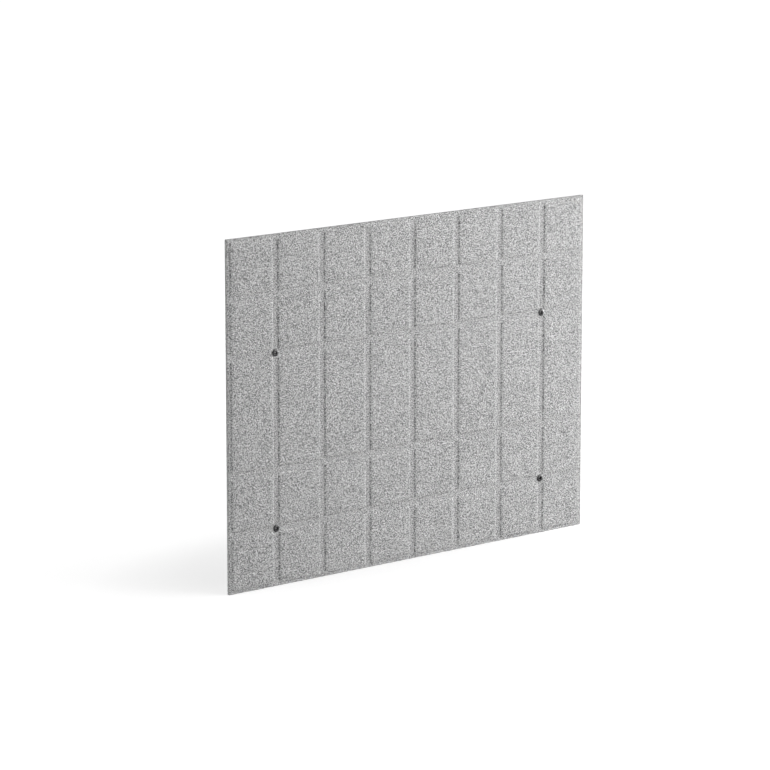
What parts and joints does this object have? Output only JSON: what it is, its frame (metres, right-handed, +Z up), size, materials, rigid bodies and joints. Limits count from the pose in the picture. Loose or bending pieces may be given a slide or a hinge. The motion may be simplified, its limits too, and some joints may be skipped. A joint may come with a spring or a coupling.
{
  "type": "acoustic divider screen",
  "caption": "Flat rectangular sound-absorbing screen of moulded grey felt, with a grid of raised pads on both faces and black through-bushes for fixing it to supports.",
  "frame": {"origin": "middle of the bottom edge, in the plane where the two felt shells meet", "axes": "+X along the width, +Y towards the back, +Z up"},
  "size_m": [0.8, 0.01, 0.6],
  "materials": {
    "felt": "pressed polyester felt, light grey with darker and lighter fibres",
    "bush": "black moulded nylon, glossy dome"
  },
  "bodies": {
    "root": {"front_shell": "felt", "back_shell": "felt", "front_bush_upper_left": "bush", "front_bush_upper_right": "bush", "front_bush_lower_left": "bush", "front_bush_lower_right": "bush", "back_bush_upper_left": "bush", "back_bush_upper_right": "bush", "back_bush_lower_left": "bush", "back_bush_lower_right": "bush"}
  },
  "joints": []
}
